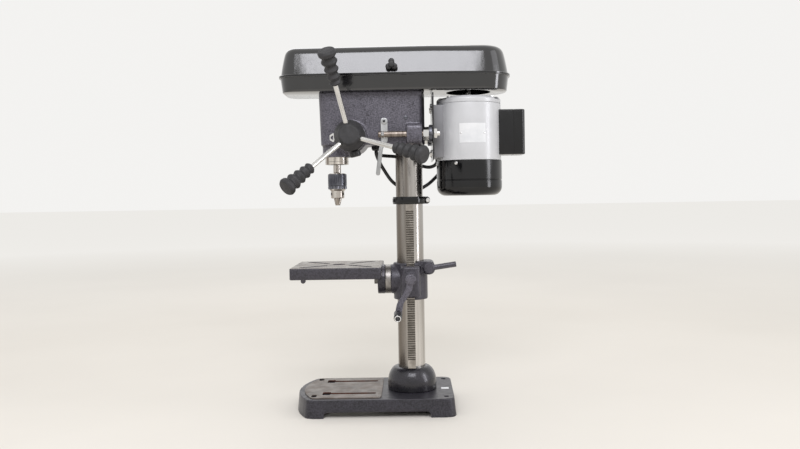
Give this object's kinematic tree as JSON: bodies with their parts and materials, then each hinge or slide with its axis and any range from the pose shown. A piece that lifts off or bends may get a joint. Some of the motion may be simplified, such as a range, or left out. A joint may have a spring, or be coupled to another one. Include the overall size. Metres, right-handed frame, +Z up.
{
  "type": "benchtop drill press",
  "caption": "Benchtop drill press: column on a slotted base, rack-raised tilting table, head with lever-fed quill and key chuck, belt drive under a hinged cover, motor behind.",
  "frame": {"origin": "middle of the footprint of the whole machine, on the bench under the base", "axes": "+Z up along the column, -Y towards the operator and the spindle, +Y towards the motor, +X towards the feed handles"},
  "size_m": [0.258, 0.411, 0.61],
  "materials": {
    "hammertone_iron": "dark grey hammertone paint on a rough casting",
    "table_iron": "ground top, machined edges",
    "column_steel": "ground and polished tube",
    "rack_steel": "oiled, darkened steel",
    "black_iron": "black paint",
    "gear_steel": "cut steel",
    "bright_steel": "turned and ground",
    "blued_steel": "blackened, toothed edge",
    "zinc_steel": "zinc plated",
    "cast_zinc": "cast, dull",
    "black_rubber": "matte moulded rubber",
    "black_plastic": "matte moulded plastic",
    "gloss_black": "gloss black paint",
    "capacitor_black": "gloss black plastic",
    "motor_grey": "light grey satin paint",
    "winding_copper": "lacquered windings on a laminated core",
    "pulley_aluminium": "turned",
    "belt_rubber": "fabric-faced rubber",
    "lead_rubber": "smooth cable jacket",
    "start_green": "gloss green plastic",
    "stop_red": "gloss red plastic"
  },
  "bodies": {
    "frame": {"base_casting": "hammertone_iron", "column_flange": "hammertone_iron", "column_tube": "column_steel", "rack_collar": "black_iron", "head_casting": "hammertone_iron", "belt_housing": "gloss_black", "lid_hinge_pin": "bright_steel", "spring_cap": "black_iron", "return_spring": "gear_steel", "depth_pointer": "cast_zinc", "switch_box": "black_plastic", "lead_gland": "black_plastic"},
    "rack": {"rack": "rack_steel"},
    "bracket": {"table_bracket": "hammertone_iron", "tilt_ring": "bright_steel", "tilt_bolt": "gear_steel"},
    "worm_wheel": {"worm_wheel": "gear_steel"},
    "crank": {"crank": "black_iron"},
    "crank_grip": {"crank_grip": "black_plastic"},
    "lock_lever": {"lock_lever": "black_iron"},
    "table": {"table": "table_iron"},
    "quill": {"quill": "bright_steel", "lower_bearing": "gear_steel", "upper_bearing": "gear_steel"},
    "spindle": {"spindle": "bright_steel", "chuck_body": "bright_steel"},
    "chuck_sleeve": {"chuck_sleeve": "blued_steel"},
    "jaw_1": {"jaw_1": "bright_steel"},
    "jaw_2": {"jaw_2": "bright_steel"},
    "jaw_3": {"jaw_3": "bright_steel"},
    "feed_hub": {"pinion_shaft": "bright_steel", "feed_hub": "black_rubber", "spoke_1": "zinc_steel", "grip_1": "black_rubber", "spoke_2": "zinc_steel", "grip_2": "black_rubber", "spoke_3": "zinc_steel", "grip_3": "black_rubber"},
    "depth_ring": {"depth_ring": "cast_zinc"},
    "depth_lock_knob": {"depth_lock_knob": "black_plastic"},
    "motor": {"motor_shell": "motor_grey", "stator": "winding_copper", "motor_end_bell": "motor_grey", "fan_cowl": "gloss_black", "capacitor_box": "capacitor_black", "motor_plate": "black_iron", "slide_rod_near": "bright_steel", "slide_rod_far": "bright_steel", "drive_belt": "belt_rubber", "motor_lead_upper": "lead_rubber", "motor_lead_lower": "lead_rubber"},
    "rotor": {"motor_rotor": "bright_steel", "cooling_fan": "black_plastic", "motor_pulley": "pulley_aluminium"},
    "spindle_pulley": {"spindle_pulley": "pulley_aluminium"},
    "tension_lever": {"tension_lever": "zinc_steel"},
    "lid": {"belt_cover_lid": "gloss_black"},
    "lid_knob": {"lid_knob": "black_plastic"},
    "start_button": {"start_button": "start_green"},
    "stop_button": {"stop_button": "stop_red"}
  },
  "joints": [
    {"name": "table_swing", "type": "hinge", "parent": "frame", "child": "rack", "pos_m": [-0.04504, 0.0095, 0.219], "axis": [0, 0, 1], "range_deg": [-180, 180]},
    {"name": "table_lift", "type": "slide", "parent": "rack", "child": "bracket", "axis": [0, 0, 1], "range_m": [-0.11, 0.06]},
    {"name": "worm_wheel_turn", "type": "hinge", "parent": "bracket", "child": "worm_wheel", "pos_m": [-0.00639, 0.0095, 0.20975], "axis": [0, 1, 0], "range_deg": [-395, 725]},
    {"name": "crank_turn", "type": "hinge", "parent": "bracket", "child": "crank", "pos_m": [0.00496, 0.0095, 0.225], "axis": [1, 0, 0], "continuous": true},
    {"name": "crank_grip_spin", "type": "hinge", "parent": "crank", "child": "crank_grip", "pos_m": [0.06496, -0.0115, 0.17], "axis": [1, 0, 0], "continuous": true},
    {"name": "lock_lever_turn", "type": "hinge", "parent": "bracket", "child": "lock_lever", "pos_m": [-0.01304, 0.0405, 0.239], "axis": [1, 0, 0], "range_deg": [-60, 60]},
    {"name": "table_tilt", "type": "hinge", "parent": "bracket", "child": "table", "pos_m": [-0.04504, -0.0305, 0.219], "axis": [0, 1, 0], "range_deg": [-45, 45]},
    {"name": "quill_feed", "type": "slide", "parent": "frame", "child": "quill", "axis": [0, 0, -1], "range_m": [0, 0.05], "stiffness_N_per_m": 200, "springref_m": -0.08},
    {"name": "feed_turn", "type": "hinge", "parent": "frame", "child": "feed_hub", "pos_m": [0.01496, -0.0855, 0.4595], "axis": [1, 0, 0], "range_deg": [-1, 307], "deforming": ["return_spring"]},
    {"name": "depth_ring_turn", "type": "hinge", "parent": "feed_hub", "child": "depth_ring", "pos_m": [0.00496, -0.0855, 0.4595], "axis": [1, 0, 0], "range_deg": [-150, 150]},
    {"name": "depth_lock_turn", "type": "hinge", "parent": "depth_ring", "child": "depth_lock_knob", "pos_m": [0.00716, -0.0855, 0.4595], "axis": [0, 0.2385, -0.9711], "range_deg": [-90, 90]},
    {"name": "motor_slide", "type": "slide", "parent": "frame", "child": "motor", "axis": [0, 1, 0], "range_m": [0, 0.01], "deforming": ["drive_belt", "motor_lead_upper", "motor_lead_lower"]},
    {"name": "tension_lever_turn", "type": "hinge", "parent": "frame", "child": "tension_lever", "pos_m": [-0.00304, -0.0305, 0.485], "axis": [1, 0, 0], "range_deg": [-1, 27]},
    {"name": "rotor_turn", "type": "hinge", "parent": "motor", "child": "rotor", "pos_m": [-0.04504, 0.1125, 0.56], "axis": [0, 0, 1], "continuous": true},
    {"name": "spindle_turn", "type": "hinge", "parent": "quill", "child": "spindle", "pos_m": [-0.04504, -0.1135, 0.45], "axis": [0, 0, 1], "continuous": true},
    {"name": "spindle_pulley_turn", "type": "hinge", "parent": "frame", "child": "spindle_pulley", "pos_m": [-0.04504, -0.1135, 0.56], "axis": [0, 0, 1], "continuous": true},
    {"name": "chuck_sleeve_turn", "type": "hinge", "parent": "spindle", "child": "chuck_sleeve", "pos_m": [-0.04504, -0.1135, 0.387], "axis": [0, 0, 1], "range_deg": [-10, 2990]},
    {"name": "jaw_1_slide", "type": "slide", "parent": "spindle", "child": "jaw_1", "axis": [0.2588, 0, 0.9659], "range_m": [0, 0.0165]},
    {"name": "jaw_2_slide", "type": "slide", "parent": "spindle", "child": "jaw_2", "axis": [-0.1294, 0.2241, 0.9659], "range_m": [-0.0001, 0.0166]},
    {"name": "jaw_3_slide", "type": "slide", "parent": "spindle", "child": "jaw_3", "axis": [-0.1294, -0.2241, 0.9659], "range_m": [-0.0001, 0.0166]},
    {"name": "lid_open", "type": "hinge", "parent": "frame", "child": "lid", "pos_m": [-0.11064, 0.0095, 0.56115], "axis": [0, -1, 0], "range_deg": [0, 95]},
    {"name": "lid_knob_turn", "type": "hinge", "parent": "lid", "child": "lid_knob", "pos_m": [0.01696, -0.0165, 0.575], "axis": [1, 0, 0], "range_deg": [-90, 90]},
    {"name": "start_button_press", "type": "slide", "parent": "frame", "child": "start_button", "axis": [1, 0, 0], "range_m": [0, 0.003], "stiffness_N_per_m": 900, "springref_m": -0.0005},
    {"name": "stop_button_press", "type": "slide", "parent": "frame", "child": "stop_button", "axis": [1, 0, 0], "range_m": [0, 0.003], "stiffness_N_per_m": 900, "springref_m": -0.0005}
  ],
  "couplings": [
    {"joint": "worm_wheel_turn", "follows": "table_lift", "rad_per_m": -114.29},
    {"joint": "crank_turn", "follows": "table_lift", "rad_per_m": 1600},
    {"joint": "feed_turn", "follows": "quill_feed", "rad_per_m": 106.67},
    {"joint": "tension_lever_turn", "follows": "motor_slide", "rad_per_m": 45.38},
    {"joint": "spindle_turn", "follows": "rotor_turn", "ratio": 0.84773},
    {"joint": "spindle_pulley_turn", "follows": "rotor_turn", "ratio": 0.84773},
    {"joint": "chuck_sleeve_turn", "follows": "jaw_1_slide", "rad_per_m": 3141.6},
    {"joint": "jaw_2_slide", "follows": "jaw_1_slide", "ratio": 1},
    {"joint": "jaw_3_slide", "follows": "jaw_1_slide", "ratio": 1}
  ]
}
